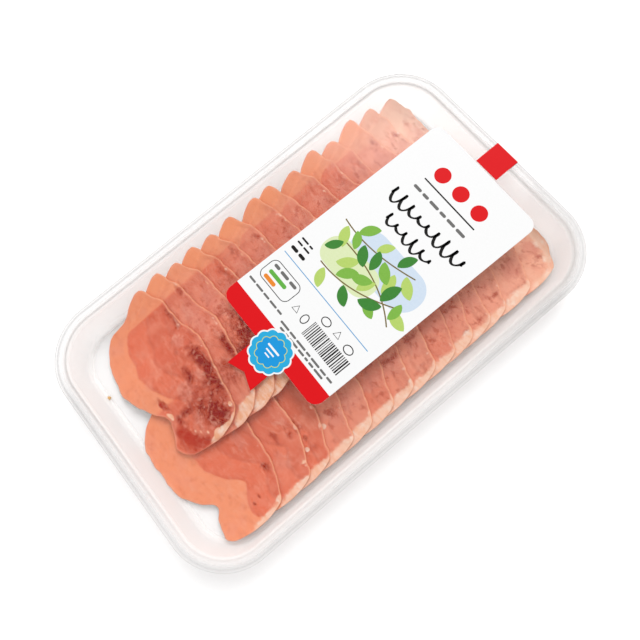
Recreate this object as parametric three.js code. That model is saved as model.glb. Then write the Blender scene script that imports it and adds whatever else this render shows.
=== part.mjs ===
// A sealed pack of sliced dry-cured ham: a clear thermoformed tray with a flange all round, a clear
// lidding film sealed to the flange, two shingled rows of thin slices inside, and on the film a
// paper label with a round seal, a ribbon tail and a red strap over the head end of the flange.
//
// Millimetres, +Z up. X runs across the pack, Y along it towards the head of the label, and the
// origin is on the ground under the middle of the tray.

import * as THREE from 'three';

// ---------------------------------------------------------------- driving dimensions

// Tray.
const PACK_WIDTH = 134;
const PACK_LENGTH = 220;
const CORNER_RADIUS = 27;
const SHEET = 0.5;
const FLANGE_TOP = 15;
const FLANGE_WIDTH = 6.3;
const WALL_DRAFT = 2;
const FLOOR_FILLET = 3;
const SHOULDER_RADIUS = 1.5;
const EDGE_ROUND = 0.15;
const CORNER_STEPS = 8;
const FILLET_STEPS = 4;

// Film, and the paper pieces that lie on it, one layer over the next.
const LAYER_GAP = 0.05;
const FILM_THICKNESS = 0.2;
const PAPER_THICKNESS = 0.15;
const FILM_BOTTOM = FLANGE_TOP + LAYER_GAP;
const FILM_TOP = FILM_BOTTOM + FILM_THICKNESS;
const PAPER_BOTTOM = FILM_TOP + LAYER_GAP;
const SEAL_BOTTOM = PAPER_BOTTOM + PAPER_THICKNESS + LAYER_GAP;

const LABEL_WIDTH = 65.4;
const LABEL_LENGTH = 126.2;
const LABEL_CORNER = 5;
const LABEL_CENTRE = new THREE.Vector2(2.9, 33);
const LABEL_TURN = THREE.MathUtils.degToRad(-1.1);

const SEAL_CENTRE = new THREE.Vector2(3.7, -29.3);
const SEAL_RADIUS = 10;
const SEAL_LOBES = 12;
const SEAL_LOBE_DEPTH = 0.4;
const SEAL_POINTS = 84;

const RIBBON_CENTRE_X = 3;
const RIBBON_WIDTH = 16;
const RIBBON_START = -46.4;
const RIBBON_END = -33;
const RIBBON_NOTCH = 3;

const STRAP_WIDTH = 12.8;
const STRAP_CENTRE_X = 2.7;
const STRAP_START = 96.8;
const STRAP_TUCK = 5;

// Slices. Each lies with its head edge (towards +Y) on the slice before it in the list of steps,
// so the first slice of a row is on top and shows whole, and the last lies on the tray.
const SLICE_THICKNESS = 0.95;
const LAYER_RISE = 1.3;
const TRAY_CLEARANCE = 0.35;
const MEAN_STEP = 11.7;
const COLUMNS = 5;
const EDGE_WOBBLE = 0.5;
const EDGE_WAVE = 33;

// Stations of a slice from its tip to its butt end: place across the pack, then how far its tail
// edge and its head edge lie from the slice's own mark along the pack. Past tipRoot the stations
// stretch, so that each slice's tip reaches as far as the list of tips says.
const BACK_ROW = {
  name: 'back',
  firstMark: -52.5,
  steps: [11.1, 10.7, 10.3, 10.4, 11.9, 13.9, 9.3, 14, 11.9, 10.6, 13.5, 11.1, 11.5],
  tips: [58.6, 59.6, 58.3, 59.3, 58.6, 59.5, 59.2, 59.5, 58, 59.6, 57.6, 59.6, 58.2, 56.4],
  tipRoot: -49.4,
  stations: [
    [-59, -9, -5.7],
    [-56.8, -14, -4.2],
    [-53.8, -18.5, -3.2],
    [-49.4, -30.5, -0.6],
    [-43.6, -36.8, 0],
    [-34, -40, 0.9],
    [-27.5, -41.8, 2.5],
    [-21, -40.3, 3],
    [-12, -35.5, 2.2],
    [-3, -30, 0.4],
    [3, -33, -1.2],
    [8.5, -35.8, -2.5],
    [12.6, -34, -4.8],
    [15.2, -29.5, -8.5],
    [16.9, -21, -12.5],
  ],
};

const FRONT_ROW = {
  name: 'front',
  firstMark: -59.3,
  steps: [16.1, 10.9, 12.4, 10.9, 12.4, 10.4, 12.9, 11.9, 10.8, 9.6, 10.4, 15.2, 13.8],
  tips: [19.6, 18.8, 19.8, 19, 19.4, 18.6, 19.7, 19.2, 18.9, 19.8, 19.1, 18.7, 19.5, 19],
  tipRoot: -8.5,
  stations: [
    [-19.6, -14, -7],
    [-17, -20, -5],
    [-13, -27, -3],
    [-8.5, -34.5, -1],
    [-4, -38.8, 0.5],
    [4, -41.5, 1.9],
    [14, -41.7, 2.6],
    [24, -40.4, 2.6],
    [32, -36, 1.8],
    [38.7, -30.6, 0.3],
    [44, -34, -1.8],
    [48.6, -35, -3.6],
    [53.4, -33.5, -5.4],
    [56.6, -28, -9],
  ],
};

// How the slices bend: up the far wall at their tips, over the front row in the middle of the
// pack, up at the near wall, and up the fillet of the tray's two ends.
const TIP_CURL = { from: -44, run: 15, rise: 5.2, power: 1.5 };
const STEP_OVER = { from: -34, to: -21 };
const STEP_OVER_GAP = 0.35;
const BUTT_CURL = { from: 44, run: 10, rise: 2, power: 1.5 };
const END_FILLET_START = PACK_LENGTH / 2 - FLANGE_WIDTH - WALL_DRAFT - FLOOR_FILLET;
const FRONT_PLATEAU = 4.15;
const BLEND = 0.9;

// ---------------------------------------------------------------- materials

const clearPlastic = new THREE.MeshStandardMaterial({ color: 0xe9eef0, roughness: 0.12, metalness: 0 });
const clearFilm = new THREE.MeshStandardMaterial({ color: 0xf4f7f8, roughness: 0.06, metalness: 0 });
const whitePaper = new THREE.MeshStandardMaterial({ color: 0xfbfbfa, roughness: 0.35, metalness: 0 });
const redPaper = new THREE.MeshStandardMaterial({ color: 0xed1b24, roughness: 0.35, metalness: 0 });
const bluePaper = new THREE.MeshStandardMaterial({ color: 0x2aa9e8, roughness: 0.35, metalness: 0 });
const curedHam = new THREE.MeshStandardMaterial({ color: 0xd9705a, roughness: 0.4, metalness: 0 });

const pack = new THREE.Group();

function addPiece(name, geometry, material) {
  const mesh = new THREE.Mesh(geometry, material);
  mesh.name = name;
  pack.add(mesh);
  return mesh;
}

// A solid from its corner points and triangles.
function solid(points, triangles) {
  const geometry = new THREE.BufferGeometry();
  geometry.setAttribute('position', new THREE.Float32BufferAttribute(points.flat(), 3));
  geometry.setIndex(triangles.flat());
  geometry.computeVertexNormals();
  return geometry;
}

// ---------------------------------------------------------------- tray

// The pack's outline, pulled in by an inset: a rounded rectangle, anticlockwise from above.
function packOutline(inset) {
  const radius = CORNER_RADIUS - inset;
  const centreX = PACK_WIDTH / 2 - CORNER_RADIUS;
  const centreY = PACK_LENGTH / 2 - CORNER_RADIUS;
  const corners = [[1, 1], [-1, 1], [-1, -1], [1, -1]];
  return corners.flatMap(([sideX, sideY], quarter) => (
    Array.from({ length: CORNER_STEPS + 1 }, (_, step) => {
      const angle = (quarter + step / CORNER_STEPS) * Math.PI / 2;
      return [
        sideX * centreX + radius * Math.cos(angle),
        sideY * centreY + radius * Math.sin(angle),
      ];
    })
  ));
}

// Points of an arc in the wall's section: [inset, height] pairs.
function sectionArc(centreInset, centreHeight, radius, from, to) {
  return Array.from({ length: FILLET_STEPS + 1 }, (_, step) => {
    const angle = THREE.MathUtils.degToRad(from + (to - from) * step / FILLET_STEPS);
    return [centreInset + radius * Math.cos(angle), centreHeight + radius * Math.sin(angle)];
  });
}

// The wall's section, from under the floor, up the outside, round the flange's edge and down the
// inside to the floor. One centre serves both skins of each bend.
function traySection() {
  const footInset = FLANGE_WIDTH + WALL_DRAFT + FLOOR_FILLET;
  const footHeight = SHEET + FLOOR_FILLET;
  const shoulderInset = FLANGE_WIDTH - SHOULDER_RADIUS;
  const shoulderHeight = FLANGE_TOP - SHOULDER_RADIUS;
  const flangeBottom = FLANGE_TOP - SHEET;
  return [
    ...sectionArc(footInset, footHeight, FLOOR_FILLET + SHEET, 270, 180),
    ...sectionArc(shoulderInset, shoulderHeight, SHOULDER_RADIUS - SHEET, 0, 90),
    [EDGE_ROUND, flangeBottom],
    [0, flangeBottom + EDGE_ROUND],
    [0, FLANGE_TOP - EDGE_ROUND],
    [EDGE_ROUND, FLANGE_TOP],
    ...sectionArc(shoulderInset, shoulderHeight, SHOULDER_RADIUS, 90, 0),
    ...sectionArc(footInset, footHeight, FLOOR_FILLET, 180, 270),
  ];
}

// Rings of points joined by a skin, and closed at the first and the last ring by a fan.
function ringSolid(rings) {
  const count = rings[0].length;
  const points = rings.flat();
  const triangles = [];
  for (let ring = 0; ring < rings.length - 1; ring += 1) {
    for (let k = 0; k < count; k += 1) {
      const next = (k + 1) % count;
      const low = ring * count;
      const high = low + count;
      triangles.push([low + k, low + next, high + next]);
      triangles.push([low + k, high + next, high + k]);
    }
  }
  const firstCentre = points.push([0, 0, rings[0][0][2]]) - 1;
  const lastCentre = points.push([0, 0, rings.at(-1)[0][2]]) - 1;
  const lastRing = (rings.length - 1) * count;
  for (let k = 0; k < count; k += 1) {
    const next = (k + 1) % count;
    triangles.push([firstCentre, next, k]);
    triangles.push([lastCentre, lastRing + k, lastRing + next]);
  }
  return solid(points, triangles);
}

function makeTray() {
  const rings = traySection().map(([inset, height]) => (
    packOutline(inset).map(([x, y]) => [x, y, height])
  ));
  addPiece('tray', ringSolid(rings), clearPlastic);
}

// ---------------------------------------------------------------- film and paper

// A flat sheet of the given outline between its underside and its thickness above that.
function flatSheet(outline, bottom, thickness) {
  const shape = new THREE.Shape(outline.map(([x, y]) => new THREE.Vector2(x, y)));
  const geometry = new THREE.ExtrudeGeometry(shape, { depth: thickness, bevelEnabled: false, steps: 1 });
  return geometry.translate(0, 0, bottom);
}

function makeFilm() {
  addPiece('lid_film', flatSheet(packOutline(EDGE_ROUND), FILM_BOTTOM, FILM_THICKNESS), clearFilm);
}

function labelOutline() {
  const arcSteps = 6;
  const corners = [[1, 1], [-1, 1], [-1, -1], [1, -1]];
  return corners.flatMap(([sideX, sideY], quarter) => (
    Array.from({ length: arcSteps + 1 }, (_, step) => {
      const angle = (quarter + step / arcSteps) * Math.PI / 2;
      const corner = new THREE.Vector2(
        sideX * (LABEL_WIDTH / 2 - LABEL_CORNER) + LABEL_CORNER * Math.cos(angle),
        sideY * (LABEL_LENGTH / 2 - LABEL_CORNER) + LABEL_CORNER * Math.sin(angle),
      );
      const placed = corner.rotateAround(new THREE.Vector2(), LABEL_TURN).add(LABEL_CENTRE);
      return [placed.x, placed.y];
    })
  ));
}

function makeLabel() {
  addPiece('label', flatSheet(labelOutline(), PAPER_BOTTOM, PAPER_THICKNESS), whitePaper);
}

// The seal's edge is a circle of round lobes with a sharp valley between each two.
function makeSeal() {
  const outline = Array.from({ length: SEAL_POINTS }, (_, k) => {
    const angle = k / SEAL_POINTS * 2 * Math.PI;
    const swell = 2 * Math.abs(Math.sin(SEAL_LOBES * angle / 2)) - 1;
    const radius = SEAL_RADIUS + SEAL_LOBE_DEPTH * swell;
    return [SEAL_CENTRE.x + radius * Math.cos(angle), SEAL_CENTRE.y + radius * Math.sin(angle)];
  });
  addPiece('seal', flatSheet(outline, SEAL_BOTTOM, PAPER_THICKNESS), bluePaper);
}

// A swallow-tailed ribbon end that shows from under the seal.
function makeRibbon() {
  const left = RIBBON_CENTRE_X - RIBBON_WIDTH / 2;
  const right = RIBBON_CENTRE_X + RIBBON_WIDTH / 2;
  const outline = [
    [left, RIBBON_START],
    [RIBBON_CENTRE_X, RIBBON_START + RIBBON_NOTCH],
    [right, RIBBON_START],
    [right, RIBBON_END],
    [left, RIBBON_END],
  ];
  addPiece('ribbon', flatSheet(outline, PAPER_BOTTOM, PAPER_THICKNESS), redPaper);
}

// The strap runs from the label's head over the flange's edge and is tucked under it.
function makeStrap() {
  const outerY = PACK_LENGTH / 2 + LAYER_GAP;
  const top = PAPER_BOTTOM;
  const under = FLANGE_TOP - SHEET - LAYER_GAP;
  const section = [
    [STRAP_START, top],
    [outerY, top],
    [outerY, under],
    [outerY - STRAP_TUCK, under],
    [outerY - STRAP_TUCK, under - PAPER_THICKNESS],
    [outerY + PAPER_THICKNESS, under - PAPER_THICKNESS],
    [outerY + PAPER_THICKNESS, top + PAPER_THICKNESS],
    [STRAP_START, top + PAPER_THICKNESS],
  ];
  const shape = new THREE.Shape(section.map(([y, z]) => new THREE.Vector2(y, z)));
  const geometry = new THREE.ExtrudeGeometry(shape, { depth: STRAP_WIDTH, bevelEnabled: false, steps: 1 });
  // The section is drawn as Y and Z, so the extrusion's own axes are turned onto Y, Z and X.
  const turn = new THREE.Matrix4().makeBasis(
    new THREE.Vector3(0, 1, 0),
    new THREE.Vector3(0, 0, 1),
    new THREE.Vector3(1, 0, 0),
  );
  geometry.applyMatrix4(turn).translate(STRAP_CENTRE_X - STRAP_WIDTH / 2, 0, 0);
  addPiece('strap', geometry, redPaper);
}

// ---------------------------------------------------------------- slices

// A number between 0 and 1 that looks random and is the same in every run.
function scatter(seed) {
  const value = Math.sin(seed * 12.9898) * 43758.5453;
  return value - Math.floor(value);
}

// Where a rising list of places is crossed, as a number of places that runs on past both ends.
function placeIn(list, value) {
  const last = list.length - 1;
  let k = 0;
  while (k < last - 1 && value > list[k + 1]) {
    k += 1;
  }
  const step = k === last - 1 && value > list[last] ? MEAN_STEP : list[k + 1] - list[k];
  return value > list[last] ? last + (value - list[last]) / step : k + (value - list[k]) / step;
}

// The smaller of two numbers, with a rounded change from one to the other.
function softMin(a, b) {
  const near = Math.max(BLEND - Math.abs(a - b), 0);
  return Math.min(a, b) - near * near / (4 * BLEND);
}

function curl(distance, { run, rise, power }) {
  return rise * Math.max(distance / run, 0) ** power;
}

// Every slice's mark along the pack, and the end of each tail.
function rowMarks(row) {
  return row.steps.reduce((marks, step) => [...marks, marks.at(-1) + step], [row.firstMark]);
}

function rowTails(row) {
  const reach = Math.min(...row.stations.map(([, tail]) => tail));
  return rowMarks(row).map((mark) => mark + reach);
}

// Height of the front row's pile at a place along the pack: it grows from the tail end, stays
// level and shrinks to the head end.
function frontPile(y) {
  const marks = rowMarks(FRONT_ROW);
  const layersFromTail = (y - rowTails(FRONT_ROW)[0]) / MEAN_STEP;
  const layersFromHead = (marks.at(-1) + Math.max(...FRONT_ROW.stations.map((s) => s[2])) - y) / MEAN_STEP;
  const layers = softMin(softMin(layersFromTail, layersFromHead), FRONT_PLATEAU);
  return LAYER_RISE * Math.max(layers, 0) + SLICE_THICKNESS;
}

// Underside of a slice: it rises by one layer for each slice that lies beneath it there.
function sliceHeight(row, index, x, y) {
  const last = row.steps.length;
  const tails = placeIn(rowTails(row), y);
  const endRise = Math.max(Math.abs(y) - END_FILLET_START, 0) ** 2 / (2 * FLOOR_FILLET);
  let height = SHEET + TRAY_CLEARANCE + endRise;
  let layers = softMin(tails, last) + BLEND / 4;
  if (row === BACK_ROW) {
    const over = THREE.MathUtils.clamp((x - STEP_OVER.from) / (STEP_OVER.to - STEP_OVER.from), 0, 1);
    const lean = curl(TIP_CURL.from - x, { ...TIP_CURL, rise: 1 });
    height += over * (frontPile(y) + STEP_OVER_GAP) + TIP_CURL.rise * lean;
    layers += Math.min(lean, 1) * Math.max(tails - last, 0);
  } else {
    height += curl(x - BUTT_CURL.from, BUTT_CURL);
  }
  return height + LAYER_RISE * (layers - index);
}

// A thin sheet over a grid of stations and columns: the same triangles above and below, and a
// rim between them.
function makeSlice(row, index, mark) {
  const phase = scatter(index + (row === BACK_ROW ? 1 : 101)) * 2 * Math.PI;
  const rows = row.stations.length;
  const columns = COLUMNS + 1;
  const stretch = (row.tips[index] + row.tipRoot) / (row.tipRoot - row.stations[0][0]);
  const underside = row.stations.flatMap(([x, tail, head]) => {
    const across = x < row.tipRoot ? row.tipRoot + (x - row.tipRoot) * stretch : x;
    const wave = EDGE_WOBBLE * Math.sin(2 * Math.PI * across / EDGE_WAVE + phase);
    return Array.from({ length: columns }, (_, column) => {
      const y = mark + tail + (head - tail) * column / COLUMNS + wave;
      return [across, y, sliceHeight(row, index, across, y)];
    });
  });
  const upside = underside.map(([x, y, z]) => [x, y, z + SLICE_THICKNESS]);
  const lift = underside.length;
  const triangles = [];
  for (let r = 0; r < rows - 1; r += 1) {
    for (let c = 0; c < COLUMNS; c += 1) {
      const a = r * columns + c;
      const b = a + columns;
      triangles.push([lift + a, lift + b, lift + b + 1]);
      triangles.push([lift + a, lift + b + 1, lift + a + 1]);
      triangles.push([a, b + 1, b]);
      triangles.push([a, a + 1, b + 1]);
    }
  }
  const rim = [
    ...Array.from({ length: rows - 1 }, (_, r) => r * columns),
    ...Array.from({ length: COLUMNS }, (_, c) => (rows - 1) * columns + c),
    ...Array.from({ length: rows - 1 }, (_, r) => (rows - 1 - r) * columns + COLUMNS),
    ...Array.from({ length: COLUMNS }, (_, c) => COLUMNS - c),
  ];
  rim.forEach((from, k) => {
    const to = rim[(k + 1) % rim.length];
    triangles.push([from, to, lift + to]);
    triangles.push([from, lift + to, lift + from]);
  });
  const number = String(index + 1).padStart(2, '0');
  addPiece(`slice_${row.name}_${number}`, solid([...underside, ...upside], triangles), curedHam);
}

// ---------------------------------------------------------------- the pack

makeTray();
makeFilm();
makeLabel();
makeRibbon();
makeSeal();
makeStrap();
for (const row of [BACK_ROW, FRONT_ROW]) {
  rowMarks(row).forEach((mark, index) => makeSlice(row, index, mark));
}

export default pack;
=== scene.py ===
"""Looks of a sealed pack of sliced dry-cured ham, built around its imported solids.

The frame is the solids': +X across the pack, +Y along it to the head of the label, +Z up, with
the origin on the ground under the middle of the tray. Sizes here are in millimetres and are
turned to metres where a mesh is made.
"""

import bpy
import numpy as np
from mathutils import Matrix, Vector


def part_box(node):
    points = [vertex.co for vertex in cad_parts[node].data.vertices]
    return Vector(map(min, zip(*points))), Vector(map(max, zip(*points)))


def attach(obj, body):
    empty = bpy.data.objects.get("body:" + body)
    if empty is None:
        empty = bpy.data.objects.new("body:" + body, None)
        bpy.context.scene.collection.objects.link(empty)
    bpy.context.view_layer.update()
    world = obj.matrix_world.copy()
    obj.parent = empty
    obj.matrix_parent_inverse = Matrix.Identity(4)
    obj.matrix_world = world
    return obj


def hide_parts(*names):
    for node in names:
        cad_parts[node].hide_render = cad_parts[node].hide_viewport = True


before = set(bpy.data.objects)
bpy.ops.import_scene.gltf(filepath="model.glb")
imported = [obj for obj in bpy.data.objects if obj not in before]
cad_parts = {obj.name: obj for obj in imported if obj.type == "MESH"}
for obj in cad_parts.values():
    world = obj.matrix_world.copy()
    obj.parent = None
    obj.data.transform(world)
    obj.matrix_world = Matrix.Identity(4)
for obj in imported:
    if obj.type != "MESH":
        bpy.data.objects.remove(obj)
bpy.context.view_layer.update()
MM = 0.001


# ---------------------------------------------------------------------------- camera
# The photograph looks down on the pack from over its near edge, a little to the tail side, from
# about a forearm away, with the long side running up to the right.
FILM_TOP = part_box("lid_film")[1].z / MM
CAMERA_PLACE = Vector((53.07, -23.54, FILM_TOP + 228.55))
CAMERA_AIM = Vector((6.71, -4.15, FILM_TOP))
CAMERA_UP = Vector((-0.7428, 0.6374, 0.2047))
FOCAL_PIXELS = 540
FRAME_PIXELS = 640

camera_data = bpy.data.cameras.new("camera")
camera_data.sensor_width = 36
camera_data.lens = camera_data.sensor_width * FOCAL_PIXELS / FRAME_PIXELS
camera_data.clip_start = 10 * MM
camera = bpy.data.objects.new("camera", camera_data)
bpy.context.scene.collection.objects.link(camera)
bpy.context.scene.camera = camera
to_camera = (CAMERA_PLACE - CAMERA_AIM).normalized()
to_right = CAMERA_UP.cross(to_camera).normalized()
turn = Matrix((to_right, to_camera.cross(to_right), to_camera)).transposed()
camera.matrix_world = Matrix.Translation(CAMERA_PLACE * MM) @ turn.to_4x4()


# ---------------------------------------------------------------------------- floor and light
# A pale laminate table top in a white tent of light, with one soft lamp from behind the far
# right corner: the label throws its shade on the slices along its near and its tail edge.
FLOOR_HALF = 1500
FLOOR_GRAIN = 1.5
LAMP_WAY = Vector((-0.404, 0.524, 0.749))
LAMP_AWAY = 4000
LAMP_SIZE = 1900
LAMP_POWER = 79
TENT_STRENGTH = 0.865


def linear(hex_colour):
    """An sRGB hex colour as the linear values that shaders take."""
    channels = np.array([int(hex_colour[k:k + 2], 16) for k in (1, 3, 5)]) / 255
    bright = np.where(channels <= 0.04045, channels / 12.92, ((channels + 0.055) / 1.055) ** 2.4)
    return (*bright, 1)


def add_node(tree, kind, links=(), values=(), **settings):
    """Adds a node: settings on it, values on its sockets, and links from other sockets."""
    made = tree.nodes.new(kind)
    for name, value in settings.items():
        setattr(made, name, value)
    for socket, value in dict(values).items():
        made.inputs[socket].default_value = value
    for socket, source in dict(links).items():
        tree.links.new(source, made.inputs[socket])
    return made


def new_material(name):
    """A node material with nothing in its tree but the output, and that tree."""
    material = bpy.data.materials.new(name)
    material.use_nodes = True
    tree = material.node_tree
    tree.nodes.clear()
    return material, tree, add_node(tree, "ShaderNodeOutputMaterial").inputs["Surface"]


def cloudy_noise(tree, size, detail):
    """Noise in the object's own frame, with blots as large as size in millimetres."""
    coords = add_node(tree, "ShaderNodeTexCoord")
    return add_node(tree, "ShaderNodeTexNoise", {"Vector": coords.outputs["Object"]},
                    {"Scale": 1 / (size * MM), "Detail": detail}).outputs["Fac"]


def two_tone(tree, share, first, second):
    """A colour between two linear ones, by a share."""
    return add_node(tree, "ShaderNodeMix", {0: share}, {6: first, 7: second},
                    data_type="RGBA").outputs[2]


def make_piece(name, points, faces, material, smooth=True, node=None, slot=None):
    """A mesh at the origin from points in millimetres; it stands for a node and rides on root."""
    mesh = bpy.data.meshes.new(name)
    mesh.from_pydata((np.asarray(points) * MM).tolist(), [], [list(face) for face in faces])
    mesh.polygons.foreach_set("use_smooth", [smooth] * len(mesh.polygons))
    mesh.materials.append(material)
    piece = bpy.data.objects.new(name, mesh)
    bpy.context.scene.collection.objects.link(piece)
    if slot:
        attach(piece, "root")
    if node:
        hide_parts(node)
    return piece


# White laminate: an even, faintly grained matt plastic face.
laminate, tree, surface = new_material("white_laminate")
tone = two_tone(tree, cloudy_noise(tree, FLOOR_GRAIN, 2), linear("#FAFAFA"), linear("#FDFDFD"))
skin = add_node(tree, "ShaderNodeBsdfPrincipled", {"Base Color": tone},
                {"Roughness": 0.6, "Specular IOR Level": 0.3})
tree.links.new(skin.outputs[0], surface)
floor = make_piece("floor", FLOOR_HALF * np.array([(-1, -1, 0), (1, -1, 0), (1, 1, 0), (-1, 1, 0)]),
                   [(0, 1, 2, 3)], laminate)

world = bpy.data.worlds.new("white_tent")
world.use_nodes = True
world.node_tree.nodes["Background"].inputs["Color"].default_value = (1, 1, 1, 1)
world.node_tree.nodes["Background"].inputs["Strength"].default_value = TENT_STRENGTH
bpy.context.scene.world = world

lamp_data = bpy.data.lights.new("soft_lamp", "AREA")
lamp_data.size = LAMP_SIZE * MM
lamp_data.energy = LAMP_POWER
lamp = bpy.data.objects.new("soft_lamp", lamp_data)
lamp.location = LAMP_WAY.normalized() * LAMP_AWAY * MM
lamp.rotation_euler = LAMP_WAY.to_track_quat("Z", "Y").to_euler()
bpy.context.scene.collection.objects.link(lamp)
bpy.context.scene.view_settings.view_transform = "Standard"


# ---------------------------------------------------------------------------- tray
# One sheet of clear PET, drawn down over a mould while hot and punched out with a flange all
# round. Its skin is the wall's section, carried round the pack's outline.
tray_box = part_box("tray")
PACK_HALF = np.array(tray_box[1].xy) / MM
CORNER_RADIUS = 27
SHEET = 0.5
FLANGE_TOP = tray_box[1].z / MM
FLANGE_WIDTH = 6.3
WALL_DRAFT = 2
FLOOR_FILLET = 3
SHOULDER_RADIUS = 1.5
EDGE_ROUND = 0.15
CORNER_STEPS = 24
SIDE_STEPS = (16, 26)
BEND_STEPS = 10
MOULD_WAVE = 16
FLAT_HAZE, WALL_HAZE, SHOULDER_HAZE_AND_HIGHLIGHT = 0.03, 0.48, 0.58
NEAR_PAINTED_MILK, NEAR_FROM, NEAR_RUN = 0.6, 20, 30
MOST_MILK = 0.8


def outline(inset):
    """The pack's outline, pulled in by an inset: a quarter circle of the corner's radius less
    the inset about each corner's centre, and the straight sides between cut into even steps."""
    centre = PACK_HALF - CORNER_RADIUS
    angles = np.linspace(0, np.pi / 2, CORNER_STEPS + 1)
    arcs = []
    for quarter, side in enumerate(np.array([(1, 1), (-1, 1), (-1, -1), (1, -1)])):
        turned = angles + quarter * np.pi / 2
        arcs.append(side * centre + (CORNER_RADIUS - inset) * np.stack([np.cos(turned), np.sin(turned)], 1))
    rows = []
    for quarter, arc in enumerate(arcs):
        share = np.linspace(0, 1, SIDE_STEPS[quarter % 2] + 1)[1:-1, None]
        rows += [arc, arc[-1] + (arcs[(quarter + 1) % 4][0] - arc[-1]) * share]
    return np.concatenate(rows)


def bend(inset, height, radius, first, last, steps=BEND_STEPS):
    """An arc in the wall's section about a centre, from one angle in degrees to another."""
    angles = np.radians(np.linspace(first, last, steps + 1))
    return np.stack([inset + radius * np.cos(angles), height + radius * np.sin(angles)], 1)


def skin_rings(rings, closed_path=False):
    """Quads between neighbouring rings of equal length, and a cap on each end ring of an open
    path. Each ring turns right-handed about the way from the first ring to the last."""
    count = rings.shape[1]
    ids = np.arange(rings.shape[0] * count).reshape(-1, count)
    low = ids if closed_path else ids[:-1]
    high = np.roll(ids, -1, axis=0) if closed_path else ids[1:]
    quads = np.stack([low, np.roll(low, -1, 1), np.roll(high, -1, 1), high], 2).reshape(-1, 4)
    caps = [] if closed_path else [ids[0][::-1].tolist(), ids[-1].tolist()]
    return quads.tolist() + caps


def at_height(points, height):
    """Flat points lifted to a height."""
    return np.insert(points, 2, height, axis=1)


def make_skin(name, rings, material, smooth=True, node=None, slot=None):
    """A piece whose skin runs over a stack of rings."""
    return make_piece(name, rings.reshape(-1, 3), skin_rings(rings), material, smooth, node, slot)


foot = (FLANGE_WIDTH + WALL_DRAFT + FLOOR_FILLET, SHEET + FLOOR_FILLET)
shoulder = (FLANGE_WIDTH - SHOULDER_RADIUS, FLANGE_TOP - SHOULDER_RADIUS)
flange_bottom = FLANGE_TOP - SHEET
middle = np.linspace(CORNER_RADIUS - 0.5, foot[0], 6, endpoint=False)
section = np.concatenate([
    np.stack([middle, 0 * middle], 1),
    bend(*foot, FLOOR_FILLET + SHEET, 270, 180),
    bend(*shoulder, SHOULDER_RADIUS - SHEET, 0, 90),
    [(FLANGE_WIDTH / 3, flange_bottom)],
    bend(EDGE_ROUND, flange_bottom + EDGE_ROUND, EDGE_ROUND, 270, 180, 3),
    bend(EDGE_ROUND, FLANGE_TOP - EDGE_ROUND, EDGE_ROUND, 180, 90, 3),
    [(FLANGE_WIDTH / 3, FLANGE_TOP)],
    bend(*shoulder, SHOULDER_RADIUS, 90, 0),
    bend(*foot, FLOOR_FILLET, 180, 270),
    np.stack([middle[::-1], 0 * middle + SHEET], 1),
])
tray_rings = np.stack([at_height(outline(inset), height) for inset, height in section])


def clear_sheet(name, straight, slanted, haze, gloss, roughness, wave, depth):
    """Clear plastic: it lets light through unbent, in a tint that goes from straight to slanted as
    facing^2.5 when the sheet turns on edge, and mirrors gloss * (0.03 + 0.9 * facing^5). Soft
    waves, as long and as deep as given in millimetres, bend the mirrored light. Where the mesh
    is cloudy it is milky by that share: the haze's colour, lit from both sides of the sheet."""
    material, tree, surface = new_material(name)
    relief = add_node(tree, "ShaderNodeBump", {"Height": cloudy_noise(tree, wave, 1)},
                      {"Strength": 1, "Distance": depth * MM})
    facing = add_node(tree, "ShaderNodeLayerWeight", (), {"Blend": 0.5}).outputs["Facing"]
    fifth = add_node(tree, "ShaderNodeMath", {0: facing}, {1: 5}, operation="POWER")
    mirrored = add_node(tree, "ShaderNodeMath", {0: fifth.outputs[0]},
                        {1: 0.9 * gloss, 2: 0.03 * gloss}, operation="MULTIPLY_ADD")
    on_edge = add_node(tree, "ShaderNodeMath", {0: facing}, {1: 2.5}, operation="POWER")
    tint = two_tone(tree, on_edge.outputs[0], linear(straight), linear(slanted))
    through = add_node(tree, "ShaderNodeBsdfTransparent", {"Color": tint})
    shine = add_node(tree, "ShaderNodeBsdfGlossy", {"Normal": relief.outputs[0]},
                     {"Roughness": roughness})
    both = add_node(tree, "ShaderNodeMixShader",
                    {0: mirrored.outputs[0], 1: through.outputs[0], 2: shine.outputs[0]})
    cloudy = add_node(tree, "ShaderNodeAttribute", attribute_name="cloudy").outputs["Fac"]
    matt = add_node(tree, "ShaderNodeBsdfDiffuse", (), {"Color": linear(haze)})
    glow = add_node(tree, "ShaderNodeBsdfTranslucent", (), {"Color": linear(haze)})
    milk = add_node(tree, "ShaderNodeMixShader", {1: matt.outputs[0], 2: glow.outputs[0]}, {0: 0.6})
    whole = add_node(tree, "ShaderNodeMixShader", {0: cloudy, 1: both.outputs[0], 2: milk.outputs[0]})
    tree.links.new(whole.outputs[0], surface)
    return material


def add_field(piece, name, values):
    """A number for every point of a piece's mesh, which its material reads."""
    field = piece.data.attributes.new(name, "FLOAT", "POINT")
    field.data.foreach_set("value", np.ascontiguousarray(values, np.float32))
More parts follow.
